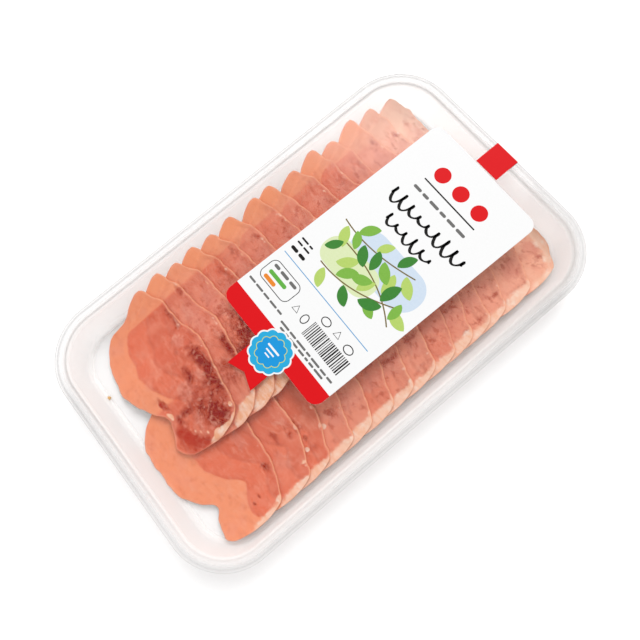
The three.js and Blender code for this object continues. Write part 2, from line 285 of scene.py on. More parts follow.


# Drawn PET: clear and glossy, with the faint waves of the mould, a little grey on edge; it is
# stretched thin and turns milky where it was drawn down the wall. It is made milkier still at the near side,
# as painted light over the slices' shadow there, and at the shoulder, where its own haze is raised into a
# painted highlight line along the bend.
drawn_pet = clear_sheet("thermoformed_pet", "#FFFFFF", "#F6F3F2", "#FFFDFC", 0.5, 0.1, MOULD_WAVE, 0.5)
clear_tray = make_skin("clear_tray", tray_rings, drawn_pet, node="tray", slot="clear_tray")
run, rise = np.gradient(section, axis=0).T
steep = np.abs(rise) / np.hypot(run, rise)
drawn = FLAT_HAZE + (WALL_HAZE - FLAT_HAZE) * steep ** 0.5
# The shoulder's rings: their haze, raised into a painted highlight line.
drawn[section[:, 1] > FLANGE_TOP - SHOULDER_RADIUS] = SHOULDER_HAZE_AND_HIGHLIGHT
drawn[section[:, 0] < shoulder[0]] = FLAT_HAZE
# Milkier towards the near side: painted light over the slices' shadow on the near wall.
near = np.clip((tray_rings[..., 0] - NEAR_FROM) / NEAR_RUN, 0, 1)
add_field(clear_tray, "cloudy", np.minimum(drawn[:, None] * (1 + NEAR_PAINTED_MILK * near), MOST_MILK).ravel())


# ---------------------------------------------------------------------------- film
# Clear lidding film, peeled off a roll, sealed to the flange under a hot frame and cut with it:
# a flat sheet with two shallow, greyish ridges where the frame's edges bore down. The ridges are
# painted fainter along the near side as painted light, and the whole seal is painted greyer towards the head
# end as painted shade.
film_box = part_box("lid_film")
FILM_INSET = PACK_HALF[0] - film_box[1].x / MM
FILM_BOTTOM = film_box[0].z / MM
ROLL_WAVE = 30
NEAR_PAINTED_LIGHT, NEAR_LIGHT_FROM, NEAR_LIGHT_RUN = 0.6, -40, 80
HEAD_PAINTED_SHADE, HEAD_SHADE_FROM, HEAD_SHADE_RUN = 0.11, 20, 70

film_insets = np.array([CORNER_RADIUS - 0.5, 16, 9, 6.6, 5.7, 5.3, 4.9, 4.5, 4, 2.7, 2, 1.4, 0.9, 0.5,
                        FILM_INSET])
film_lift = np.array([0, 0, 0, 0, 0, 0, 0.04, 0, 0, 0, 0, 0.03, 0, 0, 0])
film_haze = np.array([0, 0, 0, 0, 0.02, 0.13, 0.2, 0.1, 0.03, 0.03, 0.1, 0.2, 0.08, 0.06, 0.22])
film_rings = np.stack(
    [at_height(outline(inset), FILM_BOTTOM) for inset in film_insets]
    + [at_height(outline(inset), FILM_TOP + lift)
       for inset, lift in zip(film_insets[::-1], film_lift[::-1])])
lidding = clear_sheet("lidding_film", "#FFFFFF", "#FAF8F7", "#8E8A88", 0.5, 0.14, ROLL_WAVE, 0.25)
clear_film = make_skin("clear_film", film_rings, lidding, node="lid_film", slot="clear_film")
# Painted light: the grey ridges fade out towards the near side.
painted_light_near = 1 - NEAR_PAINTED_LIGHT * np.clip((film_rings[..., 0] - NEAR_LIGHT_FROM) / NEAR_LIGHT_RUN, 0, 1)
sealed = np.append(film_insets, film_insets[::-1])[:, None] < FLANGE_WIDTH
# Painted shade: the seal is given more grey haze towards the head end.
painted_head_shade = HEAD_PAINTED_SHADE * np.clip((film_rings[..., 1] - HEAD_SHADE_FROM) / HEAD_SHADE_RUN, 0, 1) * sealed
ridged = np.append(film_haze, film_haze[::-1])[:, None] * painted_light_near
add_field(clear_film, "cloudy", (ridged + painted_head_shade).ravel())


# ---------------------------------------------------------------------------- slices
# Thin slices of dry-cured ham, laid in two shingled rows: the first slice of a row is on top
# and shows whole, the others show their head edges, and the back row lies over the front one.
SLICE_THICKNESS = 1.0
SOLID_THICKNESS = 0.95
LAYER_RISE = 1.3
TRAY_CLEARANCE = 0.35
MEAN_STEP = 11.7
CELL = 0.8
RIM_OFFSETS = np.array([0, 0.05, 0.2, 0.5])
TIP_ROUND, TIP_FLARE = 5, 0.3
BUTT_ROUND = 2.5
END_HALF = 0.25
EDGE_WOBBLES = ((0.5, 33), (0.16, 8.7), (0.08, 4.3))
LOBE_FROM, LOBE_RUN, LOBE_DEPTH, LOBE_FADE = -52.4, 0.9, 5.6, 2.6
LAST_REACH, LAST_REACH_AT, LAST_REACH_HALF = 3.4, 44, 6.2
FOLDED_BACK, FOLDED_MORE = 9.5, 3
TIP_FROM, TIP_RUN, TIP_RISE = -44, 15, 5.2
STEP_OVER = (-34, -21)
STEP_OVER_GAP = 0.35
DROOP_FROM, DROOP_RUN, DROOP = 9, 8, 1.2
BUTT_FROM, BUTT_RUN, BUTT_RISE = 44, 10, 2
CURL_POWER = 1.5
FRONT_PLATEAU = 4.15
BLEND = 0.9
DRAPE_STEP, DRAPE_RISE, DRAPE_END = 0.4, 0.12, 2
SLOW_WAVE = 0.16
RUFFLE, RUFFLE_WIDTH, RUFFLE_PACE, RUFFLE_FADE = 0.3, 3.5, 0.45, 8
END_FILLET_START = PACK_HALF[1] - foot[0]

# Stations from a slice's tip to its butt end: place across the pack, then how far the tail edge
# and the head edge lie from the slice's mark. Each tip reaches as far as the list of tips says,
# and the butt ends that show from under the label sag a little further out. The seed and the
# place in the noise keep the two rows' wobbles and marbling apart.
BACK_ROW = {
    "name": "back", "seed": 1, "noise_from": 0, "first_mark": -52.5, "tip_root": -49.4, "butt_root": 8.5,
    "steps": [11.1, 10.7, 10.3, 10.4, 11.9, 13.9, 9.3, 14, 11.9, 10.6, 13.5, 11.1, 11.5],
    "tips": [58.6, 59.6, 58.3, 59.3, 58.6, 59.5, 59.2, 59.5, 58, 59.6, 57.6, 59.6, 58.2, 56.4],
    "sags": [0.6, 2.2, 2.4, 2, 1],
    "stations": np.array([
        (-59, -9, -5.7), (-56.8, -14, -4.2), (-53.8, -18.5, -3.2), (-49.4, -30.5, -0.6),
        (-43.6, -36.8, 0), (-34, -40, 0.9), (-27.5, -41.8, 2.5), (-21, -40.3, 3),
        (-12, -35.5, 2.2), (-3, -30, 0.4), (3, -33, -1.2), (8.5, -35.8, -2.5),
        (12.6, -34, -4.8), (15.2, -29.5, -8.5), (16.9, -21, -12.5)]),
}
FRONT_ROW = {
    "name": "front", "seed": 101, "noise_from": 200, "first_mark": -59.3, "tip_root": -8.5, "butt_root": 44,
    "steps": [16.1, 10.9, 12.4, 10.9, 12.4, 10.4, 12.9, 11.9, 10.8, 9.6, 10.4, 15.2, 13.8],
    "tips": [19.6, 18.8, 19.8, 19, 19.4, 18.6, 19.7, 19.2, 18.9, 19.8, 19.1, 18.7, 19.5, 19],
    "sags": [],
    "stations": np.array([
        (-19.6, -14, -7), (-17, -20, -5), (-13, -27, -3), (-8.5, -34.5, -1), (-4, -38.8, 0.5),
        (4, -41.5, 1.9), (14, -41.7, 2.6), (24, -40.4, 2.6), (32, -36, 1.8), (38.7, -30.6, 0.3),
        (44, -34, -1.8), (48.6, -35, -3.6), (53.4, -33.5, -5.4), (56.6, -28, -9)]),
}


def marks_of(row):
    """Each slice's mark along the pack."""
    return row["first_mark"] + np.concatenate([[0], np.cumsum(row["steps"])])


def tails_of(row):
    """The end of each slice's tail."""
    return marks_of(row) + row["stations"][:, 1].min()


def scatter(seed):
    """A number between 0 and 1 that looks random: the fraction of 43758.5 sin(12.99 seed)."""
    value = np.sin(seed * 12.9898) * 43758.5453
    return value - np.floor(value)


def smooth(values):
    """The smooth step 3t^2 - 2t^3 of values held between 0 and 1."""
    held = np.clip(values, 0, 1)
    return held * held * (3 - 2 * held)


def through(stations, places):
    """A cubic curve through stations, with the slope at each from its two neighbours."""
    x, y = stations[:, 0], stations[:, 1:]
    slope = np.gradient(y, x, axis=0)
    k = np.clip(np.searchsorted(x, places) - 1, 0, len(x) - 2)
    run = (x[k + 1] - x[k])[..., None]
    t = np.clip((places - x[k])[..., None] / run, 0, 1)
    return ((1 + 2 * t) * (1 - t) ** 2 * y[k] + t * (1 - t) ** 2 * run * slope[k]
            + t * t * (3 - 2 * t) * y[k + 1] - t * t * (1 - t) * run * slope[k + 1])


def slice_ends(row, index):
    """Where a slice's tip and its butt end lie across the pack."""
    sag = row["sags"][index] if index < len(row["sags"]) else 0
    return -row["tips"][index], row["stations"][-1, 0] + sag


def slice_edges(row, index, x):
    """The tail and head edges of a slice at places across the pack: the stations' curve, drawn
    out to the slice's own ends, with the knife's wobbles added and both ends rounded off. At the
    tip half the width grows with the distance d as sqrt(2 * radius * d) + flare * d^1.5, until
    it meets the curve; at the butt it is taken times sqrt(1 - (1 - d / radius)^2). The first
    slice of the back row has a lobe below its tip, which starts at once and dies away as e^-d;
    the last slice of the front row reaches further into the tray's near corner."""
    tip, butt = slice_ends(row, index)
    first, last = row["stations"][[0, -1], 0]
    roots = [row["tip_root"], row["butt_root"]]
    edges = through(row["stations"], np.interp(x, [tip, *roots, butt], [first, *roots, last]))
    phase = scatter(index + row["seed"]) * 2 * np.pi
    wave = sum(size * np.sin(2 * np.pi * x / length + phase * (k + 1))
               for k, (size, length) in enumerate(EDGE_WOBBLES))
    centre, half = edges.mean(-1), (edges[..., 1] - edges[..., 0]) / 2
    from_tip = np.maximum(x - tip, 0)
    half = soft_min(half, np.sqrt(2 * TIP_ROUND * from_tip) + TIP_FLARE * from_tip ** 1.5 + END_HALF)
    half = half * np.sqrt(1 - (1 - np.clip((butt - x) / BUTT_ROUND, 0, 1)) ** 2)
    half = np.maximum(half, END_HALF)
    centre = centre + marks_of(row)[index] + wave
    tail = centre - half
    if row is BACK_ROW and index == 0:
        past = np.maximum(x - LOBE_FROM - LOBE_RUN, 0)
        tail = tail - LOBE_DEPTH * smooth((x - LOBE_FROM) / LOBE_RUN) * np.exp(-past / LOBE_FADE)
    head = centre + half
    if row is FRONT_ROW and index == len(row["steps"]):
        head = head + LAST_REACH * np.exp(-((x - LAST_REACH_AT) / LAST_REACH_HALF) ** 2)
    return tail, head


def soft_min(a, b):
    """The smaller of two numbers, with a rounded change from one to the other."""
    near = np.maximum(BLEND - np.abs(a - b), 0)
    return np.minimum(a, b) - near ** 2 / (4 * BLEND)


def place_in(places, values):
    """How many of a rising list of places lie below each value, with the share of the way to
    the next; it runs on past both ends, past the last one by the mean step."""
    last = len(places) - 1
    k = np.clip(np.searchsorted(places, values) - 1, 0, last)
    steps = np.append(np.diff(places), MEAN_STEP)
    return k + (values - places[k]) / steps[k]


def front_pile(y):
    """Height of the front row's pile: it grows from the tail end, stays level, and shrinks."""
    from_tail = (y - tails_of(FRONT_ROW)[0]) / MEAN_STEP
    head = marks_of(FRONT_ROW)[-1] + FRONT_ROW["stations"][:, 2].max()
    layers = soft_min(soft_min(from_tail, (head - y) / MEAN_STEP), FRONT_PLATEAU)
    return LAYER_RISE * np.maximum(layers, 0) + SOLID_THICKNESS


def drape(row, x, y):
    """How slices sink down past each tail edge beneath them: a quick rise of one drape step at
    the edge, which dies away evenly to the next one. Every slice of a row shares it."""
    relief = 0 * x
    for index in range(1, len(row["tips"])):
        tip, butt = slice_ends(row, index)
        tail, _ = slice_edges(row, index, x)
        past = (y - tail) / MEAN_STEP
        inside = smooth((x - tip) / DRAPE_END) * smooth((butt - x) / DRAPE_END)
        relief = relief + inside * smooth(past / DRAPE_RISE) * np.clip(1 - past, 0, 1) * (past > 0)
    return DRAPE_STEP * relief


def underside(row, index, x, y):
    """Height of a slice's underside, as in the solids: it rises by one layer for each slice
    beneath it, up the tray's end fillets, over the front row and up the two long walls; the
    drape, the droop of the back row's butt ends and a slow wave are added."""
    last = len(row["steps"])
    tails = place_in(tails_of(row), y)
    layers = soft_min(tails, last) + BLEND / 4
    height = SHEET + TRAY_CLEARANCE + np.maximum(np.abs(y) - END_FILLET_START, 0) ** 2 / (2 * FLOOR_FILLET)
    height = height + drape(row, x, y)
    if row is BACK_ROW:
        over = np.clip((x - STEP_OVER[0]) / (STEP_OVER[1] - STEP_OVER[0]), 0, 1)
        lean = (np.maximum(TIP_FROM - x, 0) / TIP_RUN) ** CURL_POWER
        height = height + over * (front_pile(y) + STEP_OVER_GAP + drape(FRONT_ROW, x, y)) + TIP_RISE * lean
        height = height - DROOP * np.clip((x - DROOP_FROM) / DROOP_RUN, 0, 1) ** CURL_POWER
        layers = layers + np.minimum(lean, 1) * np.maximum(tails - last, 0)
    else:
        height = height + BUTT_RISE * (np.maximum(x - BUTT_FROM, 0) / BUTT_RUN) ** CURL_POWER
    slow = SLOW_WAVE * (1 + np.sin(0.33 * x + 0.12 * y + 1) * np.sin(0.27 * y - 0.1 * x))
    return height + LAYER_RISE * (layers - index) + slow


def spread(first, last, count):
    """Places from first to last: close together by both rims, and even between them."""
    width = (last - first)[..., None]
    near = RIM_OFFSETS * np.minimum(1, width / 4)
    inner = np.linspace(0, 1, count)[1:-1]
    low, high = first[..., None] + near[..., -1:], last[..., None] - near[..., -1:]
    return np.concatenate([first[..., None] + near, low + (high - low) * inner,
                           last[..., None] - near[..., ::-1]], -1)


def layers_beneath(row, index, x, y):
    """How many slices lie right beneath a point of a slice, with a soft step at each edge. Where
    a slice is covered its tip lies folded back a little, short of where its free tip would."""
    total = 0 * x
    below = [(row, k) for k in range(index + 1, len(row["tips"]))]
    if row is BACK_ROW:
        below += [(FRONT_ROW, k) for k in range(len(FRONT_ROW["tips"]))]
    for other, k in below:
        tip, butt = slice_ends(other, k)
        tail, head = slice_edges(other, k, np.clip(x, tip, butt))
        fold = tip + FOLDED_BACK + FOLDED_MORE * scatter(index + k + 0.5)
        total = total + (smooth((y - tail) / CELL + 0.5) * smooth((head - y) / CELL + 0.5)
                         * smooth((x - fold) / CELL + 0.5) * smooth((butt - x) / CELL + 0.5))
    return total


def blots(x, w, ellipses):
    """A sum of soft blots in a slice's own frame, each given as centre across, centre from the
    mark, two half sizes and a strength: strength * exp(-(far^2)), far in half sizes."""
    total = 0 * x
    for centre_x, centre_w, half_x, half_w, strength in ellipses:
        far = ((x - centre_x) / half_x) ** 2 + ((w - centre_w) / half_w) ** 2
        total = total + strength * np.exp(-far)
    return total


# Blots where the meat is deep lean, rosy, fat or vivid red; the deep blots along the label's near
# edge and past its foot are partly painted shade, deepening the label's shade on the slices. The first slices
# of a row have their own; the later ones show a strip along their head edge, and share theirs, each shifted
# by its own drift. Then how pale each slice is, how streaky its fat is, and how strong a painted glow of
# light warms each back tip.
LAST_OWN = 3
LEAN_DRIFT, DRIFT = 9, 2
NOISE_APART = 4
LEAN_AND_SHADE = {
    ("back", 0): [
        (-18, -2.2, 6, 2.6, 1.25), (-9.5, -2.2, 5, 2.8, 1.3), (-2.5, -3, 5, 3.4, 1.25),
        (10.8, -10.5, 4.5, 4.5, 1.15), (-36.3, -1.7, 6, 1.8, 0.8), (-42.5, -1.4, 3, 1.3, 0.6),
        (-13.2, -11.1, 3.4, 1.7, 0.9), (5, -14.5, 5, 3, 0.75), (-0.8, -21.8, 2.2, 4, 0.8),
        (-10.3, -28.6, 4.5, 1.9, 0.8), (2.5, -26.4, 5, 1.8, 0.8), (10.5, -25, 3, 2, 0.6),
        (-1, -14, 12, 7, 0.5), (3, -7, 8, 5, 0.6), (-26, -9, 9, 5, 0.3)],
    # The deep blots of slices two to four near x -20 to -9 lie past the label's foot: deep lean, with the
    # label's painted shade over it.
    ("back", 1): [
        (-9.6, -0.8, 9, 2, 0.9), (-3, -7, 8, 4, 0.8), (-16, 0, 8, 2, 0.5), (-48, -2.5, 4, 1.6, 0.5)],
    ("back", 2): [
        (-14.9, 0.8, 5, 3, 1), (-11, -3, 8, 4, 1.3), (-2, -8, 8, 4, 0.7), (2.6, -15, 6, 4, 0.7),
        (-26, -4, 6, 4, 0.5)],
    ("back", 3): [
        (-12, -8, 6, 5, 1.5), (-17, -9, 4, 3, 1), (10, -8, 5, 5, 1), (-44, -2, 5, 3, 0.5)],
    ("front", 0): [
        (38.7, -2.8, 2.8, 2.8, 0.7), (47.7, -16.2, 0.9, 0.8, 1.1), (46.7, -12.9, 1.1, 0.7, 0.8),
        (21, -5, 9, 4, 0.25)],
    ("front", 1): [
        (34, -2.8, 4, 1.8, 0.6), (30.8, -8.6, 5, 1.8, 0.62), (36.8, 0.9, 2, 1.2, 0.6),
        (43, -8, 4, 3, 0.35)],
    ("front", 2): [(40.5, -9.4, 1.4, 1, 1.3), (33.7, -7.6, 4, 3, 0.6), (46, -9, 3, 3, 0.3)],
    ("front", 3): [(50, -12.5, 3, 2.5, 0.45), (39, -6.5, 4, 3, 0.5)],
    "back": [(-45, -3, 4, 3, 0.42), (-30, -6, 5, 5, 0.3)],
    # The second shared front blot, by the label's near edge, is painted shade of the label.
    "front": [(47.5, -8, 2.4, 7, 0.42), (33.5, -6, 3.4, 9, 0.4)],
}
ROSE = {
    ("back", 0): [
        (-28.6, -5.9, 5, 2.6, 1.2), (-7.9, -15.9, 5, 4, 1.3), (-9.4, -6.8, 5, 2.2, 1.1),
        (1.2, -10.3, 4, 2.4, 1), (6, -18.5, 6, 3, 0.9), (-16, -20, 7, 4, 0.5)],
    ("front", 0): [(14, -22, 9, 7, 0.5), (22, -5, 7, 4, 0.8)],
    ("front", 1): [(42, -12, 6, 4, 0.8), (28, -2, 6, 3, 0.7)],
    ("front", 2): [(36, -12, 6, 4, 0.8)],
    ("front", 3): [(43, -6, 4, 5, 1.2)],
    "back": [(-36, -5, 9, 5, 0.9), (-26, -3, 6, 4, 0.7)],
    "front": [(41, -7, 5, 7, 1.1), (51, -10, 2, 4, 0.5)],
}
FAT = {
    ("back", 0): [
        (-4, -28.6, 1.9, 1.1, 1.6), (-6, -29.6, 1.2, 0.6, 1), (9.3, -4.2, 1.5, 1.1, 1.3),
        (6, -25, 1.3, 0.7, 0.9), (8, -23.7, 1.3, 0.7, 0.9), (10, -21.8, 1.3, 0.7, 0.9),
        (12, -19.5, 1.3, 0.9, 1), (14.4, -16, 1.4, 1.6, 1.3), (15.8, -12, 1.6, 6, 2),
        (16.4, -18, 1.2, 3, 1.4), (14, -5.5, 1.4, 1.8, 1.4)],
    ("back", 1): [(15.4, -8, 3.6, 7, 1.8), (18.4, -12, 3.4, 7, 1.8), (10, -4, 1.4, 1, 1.1)],
    ("front", 0): [(58, -12, 4, 12, 2), (52.5, -6, 1.6, 2, 0.9)],
    ("front", 1): [(48, -5.1, 1, 1.4, 1.3), (57.8, -13, 4.6, 12, 2)],
    ("front", 2): [(44.9, -11.7, 1.2, 1.1, 1.3), (57.6, -13, 5, 14, 2)],
    ("front", 3): [(41.9, -12.5, 1.6, 1.4, 1.4), (57.5, -13, 5.2, 14, 2)],
    "back": [(14.6, -6, 4, 8, 1.8), (18.2, -12, 3.4, 8, 1.8), (-42, -1, 1.4, 0.7, 1)],
    ("front", 13): [(57.5, -12, 5.4, 14, 1.4), (40, 2, 14, 5.5, 1.9), (49, -4, 2.6, 3, 0.9)],
    "front": [(57.5, -12, 5.4, 14, 2), (52, -3, 2.2, 2.2, 1.1)],
}
RED = {
    ("back", 0): [(7.5, -28.6, 7, 4.2, 1.3), (14, -23, 3, 4, 1), (-10.3, -28.6, 4.5, 2, 0.8)],
    "back": [], "front": [],
}
PALENESS = {
    "back": [0, 0.2, 0.25, 0, 0.25, 0.35, 0.25, 0.35, 0.2, 0.05, 0.25, 0.6, 0.85, 1],
    "front": [0, 0.1, 0.05, 0.4, 0.55, 0.3, 0.5, 0.6, 0.35, 0.6, 0.7, 0.75, 0.8, 0.85],
}
STREAKS = {"back": 0.6, "front": 0.3}
# Painted light: how much warm glow is painted on each back slice's tip.
PAINTED_TIP_GLOW = [0.15, 0.7, 0.3, 0.65, 0.5, 0.85, 0.55, 0.8, 0.3, 0.7, 0.2, 0.7, 0.1, 0.05]


def make_slice(row, index, meat):
    """A closed thin sheet on a grid: x runs from tip to butt, y from tail edge to head edge. Top
    and underside lie half a thickness each way from the middle, times sqrt(1 - (1 - d / r)^2)
    for a distance d from the rim below the rounding r, so that they meet in a rounded rim. The
    head edge is ruffled upwards a little. The material's values are kept on the mesh's points."""
    tip, butt = slice_ends(row, index)
    across = spread(np.array(tip), np.array(butt), round((butt - tip) / CELL))
    tail, head = slice_edges(row, index, across)
    y = spread(tail, head, round(np.ptp(row["stations"][:, 1:]) / CELL))
    x = np.broadcast_to(across[:, None], y.shape)
    from_end = np.minimum(x - tip, butt - x)
    from_rim = np.minimum(np.minimum(y - tail[:, None], head[:, None] - y), from_end)
    bulge = np.sqrt(1 - (1 - np.clip(from_rim / (SLICE_THICKNESS / 2), 0, 1)) ** 2)
    phase = scatter(index + row["seed"] + 0.37) * 2 * np.pi
    to_head = head[:, None] - y
    lift = (RUFFLE * smooth(1 - to_head / RUFFLE_WIDTH) * (1 + np.sin(RUFFLE_PACE * x + phase))
            * smooth(from_end / RUFFLE_FADE))
    middle = underside(row, index, x, y) + SLICE_THICKNESS / 2 + lift
    top = np.stack([x, y, middle + bulge * SLICE_THICKNESS / 2], -1)
    low = np.stack([x, y, middle - bulge * SLICE_THICKNESS / 2], -1)

    rows, columns = y.shape
    top_ids = np.arange(rows * columns).reshape(rows, columns)
    low_ids = top_ids.copy()
    inner = np.zeros(y.shape, bool)
    inner[1:-1, 1:-1] = True
    low_ids[inner] = rows * columns + np.arange(inner.sum())
    quads = []
    for ids, way in ((top_ids, 1), (low_ids, -1)):
        corners = np.stack([ids[:-1, :-1], ids[1:, :-1], ids[1:, 1:], ids[:-1, 1:]], 2)
        quads.append(corners.reshape(-1, 4)[:, ::way])
    points = np.concatenate([top.reshape(-1, 3), low[inner]])
    name = f"{row['name']}_{index + 1:02d}"
    piece = make_piece("ham_" + name, points, np.concatenate(quads), meat,
                       node="slice_" + name, slot="cured_ham")

    w = y - marks_of(row)[index]
    own = {}
    for kind, table in (("lean", LEAN_AND_SHADE), ("rose", ROSE), ("fat", FAT), ("red", RED)):
        drift = (LEAN_DRIFT if kind == "lean" else DRIFT) * (scatter(index + len(kind)) - 0.5)
        drift = drift * (index > LAST_OWN)
        ellipses = table.get((row["name"], index), table[row["name"]])
        own[kind] = blots(x - drift, w, ellipses)
    fields = {"layers": layers_beneath(row, index, x, y), **own, "to_rim": from_rim,
              "to_head": to_head, "to_end": x - tip,
              "pale": 0 * x + PALENESS[row["name"]][index], "streaks": 0 * x + STREAKS[row["name"]],
              "painted_tip_glow": 0 * x + (PAINTED_TIP_GLOW[index] if row is BACK_ROW else 0)}
    for name, values in fields.items():
        add_field(piece, name, np.concatenate([values.ravel(), values[inner]]))
    place = np.stack([x, w, 0 * x + index * NOISE_APART + row["noise_from"]], -1)
    both = np.concatenate([place.reshape(-1, 3), place[inner]]).astype(np.float32)
    piece.data.attributes.new("place", "FLOAT_VECTOR", "POINT").data.foreach_set("vector", both.ravel())
    return piece


# Dry-cured ham: translucent salt-cured muscle, its colour painted with the light that shines through
# it, so it deepens over each further slice beneath; dark, grainy lean in the middle, rosy sinews,
# cream and yellowed fat at the rims, and painted glints and glowing tips. Its colours are those that it shows
# in the tent; TENT_GAIN and SHEEN take out what the bright tent and the wet sheen add to them.
MOTTLE = 4.0
GRAIN = 1.1
FLECK = 2.6
FIBRE = 2.2
VEIN = 7.0
PAINTED_GLINT_SIZE = 3.0
TENT_GAIN = 1.12
SHEEN = 0.016

ham, tree, surface = new_material("dry_cured_ham")


def read(name, output="Fac"):
    """One of a slice's own fields."""
    return add_node(tree, "ShaderNodeAttribute", attribute_name=name).outputs[output]


def math(operation, *terms, clamp=False):
    """A sum, product or the like of sockets and numbers."""
    links = {k: term for k, term in enumerate(terms) if not isinstance(term, (int, float))}
    values = {k: term for k, term in enumerate(terms) if isinstance(term, (int, float))}
    return add_node(tree, "ShaderNodeMath", links, values, operation=operation, use_clamp=clamp).outputs[0]


def step_between(value, none, full):
    """Nought up to one mark and one past the other, either way round, with a smooth change."""
    made = add_node(tree, "ShaderNodeMapRange", {"Value": value}, {"From Min": none, "From Max": full},
                    interpolation_type="SMOOTHSTEP")
    return made.outputs[0]


def tint_by(share, under, over):
    """One colour over another by a share; each is a socket or a hex colour."""
    links, values = {0: share}, {}
    for socket, colour in ((6, under), (7, over)):
        if isinstance(colour, str):
            values[socket] = linear(colour)
        else:
            links[socket] = colour
    return add_node(tree, "ShaderNodeMix", links, values, data_type="RGBA").outputs[2]


def noise(size, detail, stretch=(1, 1, 1), roughness=0.5, distortion=0.0):
    """Cloudy noise over a piece's own frame, with blots as large as size in millimetres."""
    drawn = add_node(tree, "ShaderNodeVectorMath", {0: place}, {1: stretch}, operation="MULTIPLY")
    return add_node(tree, "ShaderNodeTexNoise", {"Vector": drawn.outputs[0]},
                    {"Scale": 1 / size, "Detail": detail, "Roughness": roughness,
                     "Distortion": distortion}).outputs["Fac"]


place = read("place", "Vector")
mottle = noise(MOTTLE, 4, (1, 1, 0.6), 0.6)
cloud = noise(MOTTLE * 2.2, 2, (1, 1, 0.5))
grain = noise(GRAIN, 3, (1, 1, 1), 0.65)
fibre = noise(FIBRE, 3, (0.35, 1.3, 1), 0.6)
vein = noise(VEIN, 3, (0.7, 1.2, 1), 0.55, 0.6)
fleck = noise(FLECK, 5, (0.8, 1.1, 1), 0.62, 0.5)
# Painted highlights: small pale glints near the head edges.
painted_glint = noise(PAINTED_GLINT_SIZE, 1)
uneven, grained, flecked, veined = (math("SUBTRACT", one, 0.5) for one in (mottle, grain, fleck, vein))
lean, rose, fat, red, pale, streaks, to_head, to_rim = (
    read(name) for name in ("lean", "rose", "fat", "red", "pale", "streaks", "to_head", "to_rim"))

# The fields' values, made uneven by the noises, which bring in the tints.
rosy = math("MULTIPLY_ADD", uneven, 1.6, rose)
patchy = math("MULTIPLY", lean, math("MULTIPLY_ADD", uneven, 3.0, 1.0))
muscle = math("MULTIPLY_ADD", uneven, 0.5, patchy)
deep = math("MULTIPLY_ADD", grained, 1.6, math("MULTIPLY_ADD", flecked, 1.2, muscle))
marbled = math("MULTIPLY_ADD", step_between(math("ADD", lean, rose), 0.1, 0.8), 0.6, 0.25)
vivid = math("MULTIPLY_ADD", uneven, 1.6, math("MULTIPLY_ADD", grained, 0.8, red))
fatty = math("ADD", fat, math("MULTIPLY_ADD", grained, 0.5, math("MULTIPLY", uneven, 0.9)))
# The pale line along each head edge: partly the rind, partly a painted highlight where the cut edge catches
# light.
ragged = math("MULTIPLY_ADD", uneven, 1.3, to_head)
by_head = step_between(to_head, 2.6, 1.2)
cream = tint_by(math("MULTIPLY", streaks, 0.7), "#FAD3BC", "#F8BE9A")
cream = tint_by(math("MULTIPLY", step_between(fibre, 0.4, 0.66), streaks), cream, "#EC9A62")
cream = tint_by(step_between(mottle, 0.5, 0.7), cream, "#FBDFCC")

# The colour over up to four slices beneath, painted light: pale where one thin slice lets light
# through, deeper over each further slice; and the tints laid over it in turn: the value that brings each one
# in, the marks where there is none and all of it, its share and its colour. The glints, the tips' glow and
# part of the pale head-edge line among them are painted highlights.
through_light_ramp = add_node(tree, "ShaderNodeValToRGB", {"Fac": math("MULTIPLY", read("layers"), 0.25)})
stops = through_light_ramp.color_ramp.elements
stops[0].color, stops[1].color = linear("#F49872"), linear("#D36A53")
for position, colour in ((0.25, "#E7785B"), (0.5, "#DC6F55")):
    stops.new(position).color = linear(colour)
colour = tint_by(math("MULTIPLY", pale, 0.85), through_light_ramp.outputs[0], "#F2AE94")
for value, none, full, share, tint in (
        (pale, 0.7, 1.05, 0.85, "#FCCDB2"),
        (cloud, 0.48, 0.7, 0.4, "#EE9A80"),
        (mottle, 0.5, 0.72, 0.25, "#C9583F"),
        (fibre, 0.5, 0.75, 0.16, "#F7B79E"),
        (rosy, 0.35, 0.95, 0.6, "#DD8A77"),
        (muscle, 0.2, 0.7, 0.8, "#B54F3D"),
        (deep, 0.65, 1.25, 0.92, "#8E2113"),
        (fleck, 0.52, 0.66, math("MULTIPLY", marbled, 0.6), "#E9A08A"),
        (fleck, 0.47, 0.34, math("MULTIPLY", marbled, 0.6), "#B5482F"),
        (vivid, 0.2, 1.1, 0.85, "#B5301F"),
        (math("ABSOLUTE", veined), 0.022, 0.003, 0.14, "#F5B79B"),
        (fatty, 0.45, 0.95, 0.9, cream),
        (painted_glint, 0.66, 0.72, math("MULTIPLY", by_head, 0.6), "#F9CBB4"),
        (read("to_end"), 12, 3, read("painted_tip_glow"), "#FFA376"),
        (to_rim, 1.6, 0.2, 0.3, "#F8B49A"),
        (ragged, 0.75, 0.2, 0.6, "#F5AE8A"),
        (to_rim, 0.35, 0.05, 0.45, "#E08850")):
    colour = tint_by(math("MULTIPLY", step_between(value, none, full), share), colour, tint)
tent = add_node(tree, "ShaderNodeVectorMath", {0: colour},
                {1: (1 / TENT_GAIN,) * 3, 2: (-SHEEN / TENT_GAIN,) * 3}, operation="MULTIPLY_ADD")
colour = add_node(tree, "ShaderNodeVectorMath", {0: tent.outputs[0]}, {1: (0.002,) * 3},
                  operation="MAXIMUM").outputs[0]
relief = add_node(tree, "ShaderNodeBump", {"Height": math("ADD", mottle, math("MULTIPLY", grain, 0.35))},
                  {"Strength": 0.3, "Distance": 0.4 * MM})
flesh = add_node(tree, "ShaderNodeBsdfPrincipled", {"Base Color": colour, "Normal": relief.outputs[0]},
                 {"Roughness": 0.45, "IOR": 1.42, "Specular IOR Level": 0.12})
tree.links.new(flesh.outputs[0], surface)

for row in (FRONT_ROW, BACK_ROW):
    for index in range(len(row["tips"])):
        make_slice(row, index, ham)


